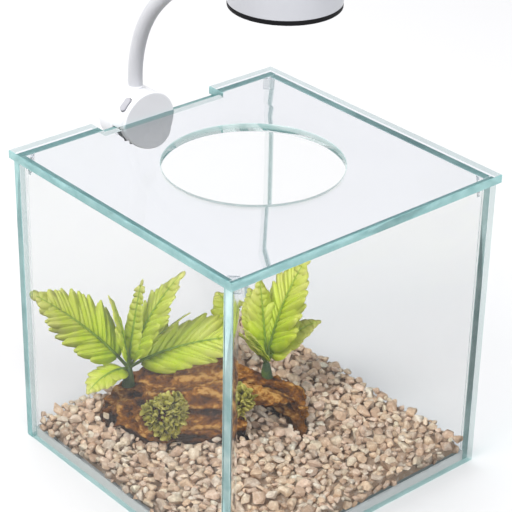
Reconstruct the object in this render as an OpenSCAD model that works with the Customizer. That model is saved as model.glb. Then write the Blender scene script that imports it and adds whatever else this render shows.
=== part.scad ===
// Small cube aquarium: a glued glass tank, a loose glass lid with a feeding hole,
// a clip-on lamp, and a gravel bed with a resin log and plastic ferns.
// Frame: origin at the centre of the underside, +Z up, the clip is on the +Y pane.

/* [Tank] */
// Outer width and depth of the square tank
tank_w = 150; // [144:1:156]
// Height of the four walls
wall_h = 146; // [140:1:152]
// Thickness of every pane and of the lid
glass_t = 4; // [3.5:0.1:4.5]
// Width of the glued joint between two panes
joint_t = 0.5; // [0.3:0.1:0.8]
// Leg of the silicone fillet along each inside corner
fillet_leg = 2.3; // [1.8:0.1:2.6]

/* [Lid] */
// Width and depth of the lid
lid_w = 153; // [151:0.5:157]
// Diameter of the round feeding hole
hole_d = 81; // [70:1:88]
// Width of the notch that lets the lamp clip through
notch_w = 69; // [60:1:72]
// Offset of the notch centre along X
notch_x = 3; // [0:0.5:4]
// Play between the notch and the clip
notch_gap = 0.4; // [0.3:0.1:1]
// Height of the corner blocks that keep the lid centred
block_h = 6; // [4:0.5:8]

/* [Lamp clip] */
// X of the clip, the arm and the head
lamp_x = -6; // [-8:0.5:0]
// Radius of the round clip housing
clip_r = 14.5; // [13.5:0.1:15]
// Thickness of the jaw on the water side
inner_jaw_t = 3.9; // [3.6:0.1:4.5]
// Length of the housing outside the pane
outer_jaw_t = 11.2; // [10.5:0.1:12]
// Thickness of the soft pads that grip the glass
pad_t = 0.8; // [0.5:0.1:1]
// Inward travel of the switch button
button_travel = 0.8; // [0.5:0.1:0.8]

/* [Lamp arm] */
// Outer radius of the arm's sleeve
sleeve_r = 3.4; // [3:0.1:3.4]
// Radius of the lower bend
bend_1_r = 60; // [55:1:65]
// Turn of the lower bend in degrees
bend_1_a = 45.8; // [40:0.2:50]
// Radius of the upper bend
bend_2_r = 150; // [140:1:160]
// Direction of the arm at its end, in degrees of turn from vertical
bend_2_a = 68; // [64:1:72]

/* [Lamp head] */
// Outer radius of the head
head_r = 23.7; // [22:0.1:25]
// Height of the head with its black bezel
head_h = 29; // [26:1:32]
// Number of LEDs in the outer ring
led_count = 9; // [6:1:12]

/* [Contents] */
// Mean depth of the gravel above the base pane
gravel_depth = 9.5; // [8:0.5:11]
// Length of the resin log
log_l = 96; // [90:1:98]

/* [Hidden] */

$fn = 64;

glass_tint = [0.72, 0.88, 0.87, 0.35];
silicone_tint = [0.86, 0.90, 0.90, 0.6];
white = [0.94, 0.94, 0.95];
black = [0.08, 0.08, 0.09];
fern_green = [0.55, 0.75, 0.2];

half_w = tank_w / 2;
inner_w = half_w - glass_t;
side_l = 2 * (inner_w - joint_t);
bead_top = glass_t + fillet_leg;
overlap = 0.2;

notch_y = inner_w - pad_t - inner_jaw_t - notch_gap;

clip_z = wall_h + 1;
clip_front = inner_w - pad_t - inner_jaw_t;
cap_t = 1.8;
clip_back = half_w + pad_t + outer_jaw_t;
rear_cover_t = 1.8;
cavity_r = clip_r - 2.3;
cavity_front = half_w + pad_t + 1.8;
slot_top = wall_h + 0.3;

button_l = 7;
button_w = 3.4;
button_y = inner_w;
button_angle = 45;
button_top = clip_r + 0.4;
button_bottom = clip_r - 2.9;
flange_t = 0.7;
button_play = 0.3;

arm_y = half_w + 1.8;
pivot_r = 3;
run_play = 0.05;
arm_foot = clip_z + clip_r + 0.2;
arm_start = arm_foot + 0.8;
bend_1_z = wall_h + 19;
core_r = 2.2;
core_bore_r = 1.4;
lead_r = 1.0;
bend_1_y = arm_y - bend_1_r;
bend_2_y = bend_1_y + (bend_1_r - bend_2_r) * cos(bend_1_a);
bend_2_z = bend_1_z + (bend_1_r - bend_2_r) * sin(bend_1_a);
arm_end_y = bend_2_y + bend_2_r * cos(bend_2_a);
arm_end_z = bend_2_z + bend_2_r * sin(bend_2_a);
eye_reach = 6;
eye_r = 3.3;
eye_t = 2.8;
ear_t = 1.8;
ear_gap = 0.3;
pin_r = 1;
pivot_y = arm_end_y - eye_reach * sin(bend_2_a);
pivot_z = arm_end_z + eye_reach * cos(bend_2_a);

head_gap = 5.5;
head_y = pivot_y - head_gap - head_r;
head_z = pivot_z - 10;
bezel_h = 2.2;
shell_t = 1.6;
window_r = head_r - 3;
board_z = 6.2;
spreader_z = 7.4;
spreader_t = 1.5;
screw_r = 0.9;
bracket_w = 8.4;
bracket_h = 8;

log_x = -9;
log_y = 20;
log_turn = -44;
log_floor = 8;
cave_high = 26;

// Height of the gravel at a point: deeper at the front right, shallow at the rear left.
function gravel_top(x, y) =
    glass_t + gravel_depth + 3 * (x - y) / tank_w - 2 * (x + y) / tank_w
    + 0.8 * sin(3.4 * x + 40) * cos(4.4 * y);

// ---- Shared shapes ----

// A disc along +Z with both rims rounded.
module rounded_disc(r, h, round) {
    rotate_extrude() {
        translate([0, round]) square([r, h - 2 * round]);
        square([r - round, h]);
        translate([r - round, round]) circle(round, $fn = 24);
        translate([r - round, h - round]) circle(round, $fn = 24);
    }
}

// A slot shape with round ends, its length along X.
module stadium(l, w) {
    square([l - w, w], center = true);
    for (s = [-1, 1]) translate([s * (l - w) / 2, 0]) circle(d = w, $fn = 32);
}

module ring(outer, inner) {
    difference() {
        circle(outer, $fn = 40);
        if (inner > 0) circle(inner, $fn = 40);
    }
}

// Turns a shape drawn along +Z at the origin to run along +Y from the given place.
module along_y(x, y, z) {
    translate([x, y, z]) rotate([-90, 0, 0]) children();
}

// Frame of a bend of the arm: local X is world +Y and local Y is world +Z.
module bend_frame(y, z, turn) {
    translate([lamp_x, y, z]) rotate([90, 0, 90]) rotate([0, 0, turn]) children();
}

// Frame at the end of the arm: local Z runs on along the arm, local X is world X.
module arm_end_frame() {
    translate([lamp_x, arm_end_y, arm_end_z]) rotate([bend_2_a, 0, 0]) children();
}

// Frame on the clip's axis whose +Z points out through the switch button.
module button_frame() {
    translate([lamp_x, button_y, clip_z]) rotate([0, -button_angle, 0]) children();
}

// ---- Tank ----

module wall_pane(x_size, y_size, x, y) {
    color(glass_tint) translate([x - x_size / 2, y - y_size / 2, 0]) cube([x_size, y_size, wall_h]);
}

module base_pane() {
    color(glass_tint) translate([-side_l / 2, -side_l / 2, 0]) cube([side_l, side_l, glass_t]);
}

module front_pane() wall_pane(tank_w, glass_t, 0, glass_t / 2 - half_w);
module rear_pane() wall_pane(tank_w, glass_t, 0, half_w - glass_t / 2);
module left_pane() wall_pane(glass_t, side_l, glass_t / 2 - half_w, 0);
module right_pane() wall_pane(glass_t, side_l, half_w - glass_t / 2, 0);

// Glue line between a side pane and the front or rear pane, with its inside fillet.
module corner_seam(sx, sy) {
    color(silicone_tint) mirror([sx < 0 ? 1 : 0, 0, 0]) mirror([0, sy < 0 ? 1 : 0, 0]) {
        translate([inner_w, inner_w - joint_t, 0]) cube([glass_t, joint_t, wall_h]);
        translate([0, 0, bead_top]) linear_extrude(wall_h - bead_top - 1) polygon([
            [inner_w, inner_w], [inner_w - fillet_leg, inner_w], [inner_w, inner_w - fillet_leg]
        ]);
    }
}

module seam_front_left() corner_seam(-1, -1);
module seam_front_right() corner_seam(1, -1);
module seam_rear_left() corner_seam(-1, 1);
module seam_rear_right() corner_seam(1, 1);

// Glue round the base pane, with a bead along the foot of each wall.
module base_seam() {
    color(silicone_tint) {
        difference() {
            translate([-inner_w, -inner_w, 0]) cube([2 * inner_w, 2 * inner_w, glass_t]);
            translate([-side_l / 2, -side_l / 2, -1]) cube([side_l, side_l, glass_t + 2]);
        }
        for (turn = [0:90:270]) rotate([0, 0, turn])
            translate([inner_w, inner_w, glass_t]) rotate([90, 0, 0]) linear_extrude(2 * inner_w)
                polygon([[0, 0], [0, fillet_leg], [-fillet_leg, 0]]);
    }
}

// ---- Contents ----

bed_w = inner_w - 0.6;
bed_foot_w = inner_w - fillet_leg - 0.5;
bed_cells = 12;

function bed_xy(i) = -bed_w + 2 * bed_w * i / bed_cells;
function bed_index(i, j) = j * (bed_cells + 1) + i;

// The bed: an uneven top, upright sides clear of the glass, and a foot inside the base bead.
module gravel_bed() {
    n = bed_cells;
    rim = concat(
        [for (i = [0:n - 1]) [i, 0]], [for (j = [0:n - 1]) [n, j]],
        [for (i = [n:-1:1]) [i, n]], [for (j = [n:-1:1]) [0, j]]
    );
    rim_count = len(rim);
    first_foot = (n + 1) * (n + 1);
    centre = first_foot + rim_count;
    top = [for (j = [0:n], i = [0:n]) [bed_xy(i), bed_xy(j), gravel_top(bed_xy(i), bed_xy(j))]];
    foot = [for (r = rim) [bed_xy(r[0]), bed_xy(r[1]), bead_top + 0.2]];
    top_faces = [for (j = [0:n - 1], i = [0:n - 1])
        each [[bed_index(i, j), bed_index(i, j + 1), bed_index(i + 1, j + 1)],
            [bed_index(i, j), bed_index(i + 1, j + 1), bed_index(i + 1, j)]]];
    lower_faces = [for (k = [0:rim_count - 1])
        let (next = (k + 1) % rim_count,
            a = bed_index(rim[k][0], rim[k][1]), b = bed_index(rim[next][0], rim[next][1]),
            a_foot = first_foot + k, b_foot = first_foot + next)
        each [[a, b, b_foot], [a, b_foot, a_foot], [centre, a_foot, b_foot]]];
    color("tan") {
        difference() {
            polyhedron(concat(top, foot, [[0, 0, bead_top + 0.2]]), concat(top_faces, lower_faces),
                convexity = 4);
            for (sx = [-1, 1], sy = [-1, 1]) translate([sx * inner_w, sy * inner_w, 0])
                rotate([0, 0, 45]) cube([4, 4, 80], center = true);
        }
        translate([-bed_foot_w, -bed_foot_w, glass_t])
            cube([2 * bed_foot_w, 2 * bed_foot_w, bead_top + 0.5 - glass_t]);
    }
}

// Cross-section of the log, as [across, up]: a front ridge, a planting hollow and a rear ridge.
log_section = [
    [-19, 0], [-21, 11], [-18, 22], [-11, 27], [-2, 21], [6, 25], [12, 35], [18, 29], [21, 12], [18, 0]
];
log_steps = 12;

// The section shrinks towards both ends, most at the -X tip, and wanders a little from side to side.
function log_scale(s) = (0.38 + 0.62 * sqrt(1 - s * s * 0.96)) * (1 - 0.9 * max(0, -s - 0.5));
// The rear ridge dies away towards the +X end of the log.
function ridge_scale(s) = 1 - 0.36 * min(1, max(0, (s + 0.15) / 0.5));
function log_ring(s) = [for (p = log_section) [
    s * log_l / 2,
    p[0] * log_scale(s) + 3 * sin(150 * s),
    log_floor + p[1] * log_scale(s) * (p[0] > 2 ? ridge_scale(s) : 1)
]];

module log_body() {
    n = log_steps;
    m = len(log_section);
    points = [for (i = [0:n]) each log_ring(-1 + 2 * i / n)];
    sides = [for (i = [0:n - 1], k = [0:m - 1])
        let (k2 = (k + 1) % m)
        each [[i * m + k, i * m + k2, (i + 1) * m + k2], [i * m + k, (i + 1) * m + k2, (i + 1) * m + k]]];
    ends = [[for (k = [m - 1:-1:0]) k], [for (k = [0:m - 1]) n * m + k]];
    polyhedron(points, concat(sides, ends), convexity = 6);
}

module driftwood_log() {
    color("saddlebrown") difference() {
        translate([log_x, log_y, 0]) rotate([0, 0, log_turn]) log_body();
        translate([-3, -40, -1]) cube([20, 52, cave_high + 1]);
    }
}

// A mound of moss that hangs down the front face of the log.
module moss_tuft(x, y, z, l, w, h) {
    color("olivedrab") translate([x, y, z]) rotate([0, 0, log_turn]) scale([l / 2, w / 2, h / 2])
        sphere(1, $fn = 20);
}

module moss_tuft_left() moss_tuft(-36, 16.5, 26, 19, 14, 22);
module moss_tuft_right() moss_tuft(-6, -5, 31, 11, 10, 15);

leaf_steps = 7;
leaf_t = 0.9;

// Half width of a frond along its length, s from 0 at the foot to 1 at the tip.
function leaf_half(s, w) = w / 2 * (0.1 + 0.9 * sin(180 * pow(0.04 + 0.94 * s, 0.7)));

// One frond as a thin leaf: it leaves the crown at `rise` degrees above level, droops by `droop`,
// and its blade is rolled about its own stem by `roll`.
module frond(yaw, rise, droop, length, width, roll = 0) {
    n = leaf_steps;
    arc = length * 180 / (PI * droop);
    function spot(s) = [
        arc * (sin(rise) - sin(rise - droop * s)), 0, arc * (cos(rise - droop * s) - cos(rise))
    ];
    rings = [for (i = [0:n])
        let (s = i / n, a = rise - droop * s,
            across = [-sin(a) * sin(roll), cos(roll), cos(a) * sin(roll)] * leaf_half(s, width),
            up = [-sin(a) * cos(roll), -sin(roll), cos(a) * cos(roll)] * leaf_t / 2)
        each [spot(s) - across - up, spot(s) + across - up, spot(s) + across + up, spot(s) - across + up]];
    sides = [for (i = [0:n - 1], k = [0:3])
        let (k2 = (k + 1) % 4)
        each [[4 * i + k, 4 * i + 4 + k2, 4 * i + k2], [4 * i + k, 4 * i + 4 + k, 4 * i + 4 + k2]]];
    ends = [[0, 1, 2, 3], [4 * n + 3, 4 * n + 2, 4 * n + 1, 4 * n]];
    rotate([0, 0, yaw]) polyhedron(rings, concat(sides, ends), convexity = 4);
}

// The weighted foot that all the fronds of one fern are moulded into.
module crown(h) {
    translate([0, 0, -h]) cylinder(h = h + 2, r = 3.2, $fn = 20);
}

module fern_left() {
    color(fern_green) translate([-33, 48, 34]) {
        crown(9);
        frond(149, 58, 24, 60, 32, -50);
        frond(188, 28, 60, 26, 17, -10);
        frond(120, 84, 15, 36, 16, 20);
        frond(20, 84, 10, 40, 9);
        frond(-10, 78, 30, 45, 24);
        frond(-20, 55, 22, 31, 15, -30);
        frond(-30, 30, 50, 45, 30, 32);
    }
}

module fern_middle() {
    color(fern_green) translate([8, 36, 33]) {
        crown(8);
        frond(150, 70, 60, 23, 13);
        frond(20, 65, 60, 23, 15, 20);
        frond(10, 45, 80, 42, 13);
        frond(80, 60, 50, 26, 13);
    }
}

module fern_right() {
    color(fern_green) translate([23.5, 9, 31]) {
        crown(8);
        frond(-5, 80, 28, 52, 28);
        frond(60, 82, 14, 38, 18, 20);
        frond(-25, 66, 50, 31, 15, 20);
        frond(175, 75, 25, 24, 11);
        frond(182, 62, 20, 33, 7);
        frond(60, 60, 40, 34, 17);
    }
}

// ---- Lid ----

module lid_glass() {
    color(glass_tint) difference() {
        translate([-lid_w / 2, -lid_w / 2, wall_h]) cube([lid_w, lid_w, glass_t]);
        translate([0, 0, wall_h - 1]) cylinder(h = glass_t + 2, d = hole_d, $fn = 128);
        translate([notch_x - notch_w / 2, notch_y, wall_h - 1]) cube([notch_w, lid_w, glass_t + 2]);
    }
}

module lid_corner_blocks() {
    near = 0.6;
    far = 4.4;
    foot = fillet_leg + 0.3;
    color([0.9, 0.93, 0.94, 0.7])
        for (turn = [0:90:270]) rotate([0, 0, turn])
            translate([inner_w, inner_w, wall_h - block_h]) linear_extrude(block_h)
                polygon([[-foot, -near], [-far, -near], [-near, -far], [-near, -foot]]);
}

// ---- Lamp clip ----

module clip_housing() {
    length = clip_back - clip_front - cap_t;
    color(white) difference() {
        along_y(lamp_x, clip_front + cap_t, clip_z) rounded_disc(clip_r - 0.3, length, 1);
        // Slot that straddles the rim of the rear pane.
        translate([lamp_x - 20, inner_w - pad_t, slot_top - 40])
            cube([40, glass_t + 2 * pad_t, 40]);
        // Room for the wiring, closed by the rear cover, round the arm's socket.
        difference() {
            along_y(lamp_x, cavity_front, clip_z) cylinder(h = 30, r = cavity_r);
            translate([lamp_x, arm_y, clip_z + 5]) cylinder(h = 20, r = pivot_r + 2.2);
        }
        translate([lamp_x, arm_y, clip_z + 4]) cylinder(h = 30, r = pivot_r + run_play);
        translate([lamp_x, arm_y, clip_z + 3]) cylinder(h = 2, r = pivot_r + 1.9);
        // Pocket for the switch and its button.
        button_frame() {
            translate([0, 0, 7]) linear_extrude(clip_r) stadium(button_l + 0.6, button_w + 0.6);
            translate([0, 0, 7]) linear_extrude(button_bottom + flange_t + 0.2 - 7)
                stadium(button_l + 2.2, button_w + 1.8);
            // Wire way from the pocket to the cavity.
            rotate([-90, 0, 0]) translate([0, -8.6, 0]) cylinder(h = 8, r = 1.2);
        }
        for (s = [-1, 1]) along_y(lamp_x + s * 10, clip_front, clip_z + 1) cylinder(h = 3.6, r = 1.2);
    }
}

module clip_front_cap() {
    color(white) {
        along_y(lamp_x, clip_front, clip_z) rounded_disc(clip_r, cap_t, 0.7);
        for (s = [-1, 1]) along_y(lamp_x + s * 10, clip_front + cap_t / 2, clip_z + 1)
            cylinder(h = 2.5, r = 1.2);
    }
}

// Soft pad between a jaw and the glass.
module clip_pad(y) {
    color(black) translate([lamp_x - 9, y, wall_h - 11]) cube([18, pad_t, 10.5]);
}

module clip_inner_pad() clip_pad(inner_w - pad_t);
module clip_outer_pad() clip_pad(half_w);

module clip_rear_cover() {
    color(white) difference() {
        along_y(lamp_x, clip_back - rear_cover_t, clip_z) cylinder(h = rear_cover_t, r = cavity_r);
        along_y(lamp_x, clip_back - 5, clip_z - 5) cylinder(h = 10, r = 4);
        for (s = [-1, 1]) along_y(lamp_x + s * 9, clip_back - 5, clip_z + 2) {
            cylinder(h = 10, r = 0.9);
            translate([0, 0, 4]) cylinder(h = 6, r = 1.8);
        }
    }
}

module cover_screws() {
    color("silver") for (s = [-1, 1]) along_y(lamp_x + s * 9, clip_back - 5.5, clip_z + 2) {
        cylinder(h = 4.5, r = 0.9);
        translate([0, 0, 4.5]) difference() {
            cylinder(h = 1, r = 1.8);
            translate([0, 0, 0.4]) linear_extrude(1) {
                square([2.2, 0.5], center = true);
                square([0.5, 2.2], center = true);
            }
        }
    }
}

// Round low-voltage socket for the lamp's plug.
module power_inlet() {
    color(black) {
        difference() {
            along_y(lamp_x, clip_back - 8.6, clip_z - 5) union() {
                cylinder(h = 9, r = 4);
                translate([0, 0, 8.6]) cylinder(h = 0.8, r = 4.6);
            }
            along_y(lamp_x, clip_back - 7.6, clip_z - 5) cylinder(h = 12, r = 2.85);
        }
        along_y(lamp_x, clip_back - 8.2, clip_z - 5) cylinder(h = 7.6, r = 1);
    }
}

module switch_body() {
    color("dimgray") button_frame() translate([-3, -1.7, 7.1]) cube([6, 3.4, 3.6]);
}

module switch_button() {
    color([0.8, 0.81, 0.84]) button_frame() {
        translate([0, 0, button_bottom]) linear_extrude(button_top - button_bottom)
            stadium(button_l, button_w);
        translate([0, 0, button_bottom]) linear_extrude(flange_t)
            stadium(button_l + 1.4, button_w + 1.1);
    }
}

// ---- Lamp arm ----

// A round section swept along the arm from its foot to its end.
module arm_run(outer, inner, foot) {
    translate([lamp_x, arm_y, foot]) linear_extrude(bend_1_z - foot) ring(outer, inner);
    bend_frame(bend_1_y, bend_1_z, 0)
        rotate_extrude(angle = bend_1_a, $fn = 96) translate([bend_1_r, 0]) ring(outer, inner);
    upper_bend(outer, inner, bend_1_a);
}

module upper_bend(outer, inner, from) {
    bend_frame(bend_2_y, bend_2_z, from)
        rotate_extrude(angle = bend_2_a - from, $fn = 96) translate([bend_2_r, 0]) ring(outer, inner);
}

// Stub that turns in the housing's socket and carries the arm.
module arm_pivot() {
    color("silver") difference() {
        translate([lamp_x, arm_y, 0]) union() {
            translate([0, 0, clip_z + 4]) cylinder(h = arm_start - clip_z - 4, r = pivot_r);
            translate([0, 0, arm_foot]) cylinder(h = arm_start - arm_foot, r = sleeve_r);
        }
        translate([lamp_x, arm_y, clip_z]) cylinder(h = 40, r = core_bore_r);
    }
}

module pivot_ring() {
    color("silver") translate([lamp_x, arm_y, clip_z + 3.2]) difference() {
        cylinder(h = 0.8, r = pivot_r + 1.4);
        translate([0, 0, -1]) cylinder(h = 4, r = core_bore_r);
    }
}

module arm_core() color("gray") arm_run(core_r, core_bore_r, arm_start);
module arm_sleeve() color(white) arm_run(sleeve_r, core_r, arm_start);
module arm_lead() color([0.2, 0.2, 0.22]) arm_run(lead_r, 0, clip_z + 3.2);

// Ferrule on the arm's end with the tongue of the tilt joint.
module arm_eye() {
    color(white) {
        upper_bend(sleeve_r + 0.6, sleeve_r, bend_2_a - 3);
        difference() {
            arm_end_frame() {
                cylinder(h = 1.6, r = sleeve_r + 0.6);
                translate([-eye_t / 2, -2.6, 1]) cube([eye_t, 5.2, eye_reach - 1]);
                translate([-eye_t / 2, 0, eye_reach]) rotate([0, 90, 0]) cylinder(h = eye_t, r = eye_r);
            }
            translate([lamp_x - 10, pivot_y, pivot_z]) rotate([0, 90, 0])
                cylinder(h = 20, r = pin_r + run_play);
        }
    }
}

// ---- Lamp head ----

module head_place(z) {
    translate([lamp_x, head_y, head_z + z]) children();
}

// Bracket through the back of the shell, with the two ears of the tilt joint.
module head_bracket() {
    ear_x = eye_t / 2 + ear_gap;
    block_y = pivot_y - eye_r - 0.4;
    color(white) difference() {
        union() {
            translate([lamp_x - bracket_w / 2, block_y - 6, pivot_z - bracket_h / 2])
                cube([bracket_w, 6, bracket_h]);
            translate([lamp_x - 6, block_y - 7.4, pivot_z - 5.5]) cube([12, 1.6, 11]);
            for (s = [-1, 1]) translate([lamp_x + s * (ear_x + ear_t / 2), 0, 0]) {
                translate([-ear_t / 2, block_y - 1, pivot_z - eye_r]) cube([ear_t, eye_r + 1.4, 2 * eye_r]);
                translate([-ear_t / 2, pivot_y, pivot_z]) rotate([0, 90, 0]) cylinder(h = ear_t, r = eye_r);
            }
        }
        translate([lamp_x - 10, pivot_y, pivot_z]) rotate([0, 90, 0]) cylinder(h = 20, r = pin_r);
    }
}

module tilt_pin() {
    grip = eye_t / 2 + ear_gap + ear_t;
    color("silver") translate([lamp_x, pivot_y, pivot_z]) rotate([0, 90, 0]) {
        translate([0, 0, -grip]) cylinder(h = 2 * grip, r = pin_r);
        for (s = [-1, 1]) translate([0, 0, s * (grip + 0.4) - 0.4]) cylinder(h = 0.8, r = 1.7);
    }
}

module head_shell() {
    round = 5;
    h = head_h - bezel_h;
    color(white) {
        difference() {
            head_place(bezel_h) rotate_extrude($fn = 96) difference() {
                union() {
                    square([head_r - round, h]);
                    square([head_r, h - round]);
                    translate([head_r - round, h - round]) circle(round, $fn = 48);
                }
                translate([-1, -1]) square([head_r - round + 1, h - shell_t + 1]);
                translate([0, -1]) square([head_r - shell_t, h - round + 1]);
                translate([head_r - round, h - round]) circle(round - shell_t, $fn = 48);
            }
            translate([lamp_x - bracket_w / 2, head_y, pivot_z - bracket_h / 2])
                cube([bracket_w, 2 * head_r, bracket_h]);
        }
        // Posts under the roof that the board and its spreader are screwed to.
        head_place(spreader_z + spreader_t) at_posts() difference() {
            cylinder(h = head_h - shell_t / 2 - spreader_z - spreader_t, r = 2.6);
            translate([0, 0, -1]) cylinder(h = 7, r = screw_r + run_play);
        }
    }
}

module bezel_ring() {
    color(black) head_place(0) difference() {
        rounded_disc(head_r, bezel_h, 0.5);
        translate([0, 0, -1]) cylinder(h = 5, r = window_r, $fn = 96);
    }
}

module diffuser() {
    color([0.95, 0.95, 0.92, 0.8]) head_place(0.6) {
        cylinder(h = 1.6, r = window_r, $fn = 96);
    }
}

// The three places of the board's screws.
module at_posts() {
    for (i = [0:2]) rotate([0, 0, 120 * i + 60]) translate([8.5, 0, 0]) children();
}

// A disc with a hole for each of the board's screws.
module drilled_disc(r, h) {
    difference() {
        cylinder(h = h, r = r, $fn = 96);
        translate([0, 0, -1]) at_posts() cylinder(h = h + 2, r = screw_r + run_play);
    }
}

module heat_spreader() {
    color("silver") head_place(spreader_z) drilled_disc(17.6, spreader_t);
}

module led_board() {
    color("white") head_place(board_z) drilled_disc(17, spreader_z - board_z);
}

module led_chips() {
    color("gold") head_place(board_z - 0.8) {
        for (i = [0:led_count - 1]) rotate([0, 0, 360 * i / led_count])
            translate([12.5, -1.5, 0]) cube([3, 3, 0.8]);
        for (i = [0:2]) rotate([0, 0, 120 * i]) translate([3.5, -1.5, 0]) cube([3, 3, 0.8]);
    }
}

// Screws that hold the board and its heat spreader to the posts of the shell.
module board_screws() {
    color("silver") head_place(board_z - 1) at_posts() {
        cylinder(h = 1, r = 1.9);
        cylinder(h = 7, r = screw_r);
    }
}

base_pane();
front_pane();
rear_pane();
left_pane();
right_pane();
seam_front_left();
seam_front_right();
seam_rear_left();
seam_rear_right();
base_seam();
gravel_bed();
driftwood_log();
moss_tuft_left();
moss_tuft_right();
fern_left();
fern_middle();
fern_right();
lid_glass();
lid_corner_blocks();
clip_housing();
clip_front_cap();
clip_inner_pad();
clip_outer_pad();
clip_rear_cover();
cover_screws();
power_inlet();
switch_body();
switch_button();
arm_pivot();
pivot_ring();
arm_core();
arm_sleeve();
arm_lead();
arm_eye();
head_bracket();
tilt_pin();
head_shell();
bezel_ring();
diffuser();
heat_spreader();
led_board();
led_chips();
board_screws();
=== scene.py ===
"""Looks of the small cube aquarium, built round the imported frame: bevelled glass panes with tinted edges,
silicone beads, loose stones, a resin log with moss, plastic ferns and a clip-on lamp. Metres, Z up."""

import math
import random

import bmesh
import bpy
import numpy as np
from mathutils import Matrix, Vector, geometry, noise


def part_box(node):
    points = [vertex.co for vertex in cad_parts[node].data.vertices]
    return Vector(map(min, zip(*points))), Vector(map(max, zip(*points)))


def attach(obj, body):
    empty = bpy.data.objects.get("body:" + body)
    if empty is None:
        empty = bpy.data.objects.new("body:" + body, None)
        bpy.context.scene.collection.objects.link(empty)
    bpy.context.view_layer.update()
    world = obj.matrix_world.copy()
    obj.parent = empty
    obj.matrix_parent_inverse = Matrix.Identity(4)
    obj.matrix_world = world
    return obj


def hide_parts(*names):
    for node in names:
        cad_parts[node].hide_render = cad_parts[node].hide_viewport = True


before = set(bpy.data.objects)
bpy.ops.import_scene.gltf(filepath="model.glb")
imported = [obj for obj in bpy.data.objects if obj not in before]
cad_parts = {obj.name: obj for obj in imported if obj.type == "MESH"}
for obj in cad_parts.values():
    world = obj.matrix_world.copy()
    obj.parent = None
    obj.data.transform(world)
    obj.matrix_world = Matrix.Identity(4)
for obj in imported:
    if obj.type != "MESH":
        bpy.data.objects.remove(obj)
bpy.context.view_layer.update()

MM = 0.001

# noise_vector takes its offsets from the clock unless a seed is set.
NOISE_SEED = 3
noise.seed_set(NOISE_SEED)

# The tank's inside, from the frame's own panes.
FLOOR_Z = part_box("base_pane")[1].z
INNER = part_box("right_pane")[0].x


# ---- Camera and stage ----

CAMERA_AZIMUTH = -41.13
CAMERA_ELEVATION = 28.70
CAMERA_ROLL = 1.16
CAMERA_LENS = 129.07
CAMERA_DISTANCE = 0.8377
CAMERA_TARGET = Vector((0, 0, 0.075))
CAMERA_SLIDE = Vector((2.43, 24.82, 0)) * MM


def make_camera():
    """A long lens that looks down on the corner between the front and left panes."""
    turn, tilt, roll = (math.radians(v) for v in (CAMERA_AZIMUTH, CAMERA_ELEVATION, CAMERA_ROLL))
    back = Vector((math.sin(turn) * math.cos(tilt), -math.cos(turn) * math.cos(tilt), math.sin(tilt)))
    right = Vector((math.cos(turn), math.sin(turn), 0))
    up = back.cross(right)
    rolled_right = right * math.cos(roll) + up * math.sin(roll)
    rolled_up = up * math.cos(roll) - right * math.sin(roll)
    axes = Matrix((rolled_right, rolled_up, back)).transposed()
    data = bpy.data.cameras.new("camera")
    data.lens = CAMERA_LENS
    data.sensor_width = 36
    data.clip_start, data.clip_end = 0.01, 50
    camera = bpy.data.objects.new("camera", data)
    place = CAMERA_TARGET + axes @ (CAMERA_SLIDE + Vector((0, 0, CAMERA_DISTANCE)))
    camera.matrix_world = Matrix.Translation(place) @ axes.to_4x4()
    bpy.context.scene.collection.objects.link(camera)
    bpy.context.scene.camera = camera


def make_light(name, place, target, width, height, watts, colour=(1, 1, 1)):
    """A rectangular softbox that faces its target."""
    data = bpy.data.lights.new(name, "AREA")
    data.shape = "RECTANGLE"
    data.size, data.size_y = width, height
    data.energy = watts
    data.color = colour
    light = bpy.data.objects.new(name, data)
    light.location = place
    light.rotation_mode = "QUATERNION"
    light.rotation_quaternion = (Vector(target) - Vector(place)).to_track_quat("-Z", "Y")
    bpy.context.scene.collection.objects.link(light)


SKY_COLOUR, SKY_STRENGTH = (0.97, 0.975, 1.0, 1), 0.8
FLOOR_REACH = 4.0
FLOOR_DROP = 0.2 * MM


def make_stage():
    """A pale floor, a pale even sky and three soft lights."""
    world = bpy.data.worlds.new("sky")
    world.use_nodes = True
    background = world.node_tree.nodes["Background"]
    background.inputs["Color"].default_value = SKY_COLOUR
    background.inputs["Strength"].default_value = SKY_STRENGTH
    bpy.context.scene.world = world
    make_light("key_softbox", (-1.4, -0.05, 1.75), (0.05, 0.05, 0), 1.0, 1.0, 38.0, (1.0, 0.985, 0.96))
    make_light("fill_softbox", (-0.2, -1.5, 0.9), (0, 0, 0.1), 1.0, 0.8, 17.0, (0.98, 0.99, 1.0))
    make_light("back_softbox", (-0.2, 1.4, 1.3), (0.2, 0.3, 0), 0.9, 0.6, 11.0)
    mesh = bpy.data.meshes.new("studio_floor")
    corners = [(-FLOOR_REACH, -FLOOR_REACH, 0), (FLOOR_REACH, -FLOOR_REACH, 0)]
    corners += [(FLOOR_REACH, FLOOR_REACH, 0), (-FLOOR_REACH, FLOOR_REACH, 0)]
    mesh.from_pydata(corners, [], [(0, 1, 2, 3)])
    floor = bpy.data.objects.new("studio_floor", mesh)
    bpy.context.scene.collection.objects.link(floor)
    floor.location.z = -FLOOR_DROP
    paint = Graph("floor_paint")
    paint.surface(paint.principled(colour=(0.66, 0.66, 0.665), roughness=0.6))
    mesh.materials.append(paint.material)


def set_view():
    """Plain colours, and enough bounces for light that crosses many panes."""
    scene = bpy.context.scene
    scene.view_settings.view_transform = "Standard"
    scene.view_settings.exposure = 0.0
    scene.cycles.max_bounces = 48
    scene.cycles.transmission_bounces = 48
    scene.cycles.transparent_max_bounces = 32
    scene.cycles.glossy_bounces = 8
    scene.cycles.diffuse_bounces = 4
    scene.cycles.caustics_reflective = False
    scene.cycles.caustics_refractive = False


# ---- Node graphs ----


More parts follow.
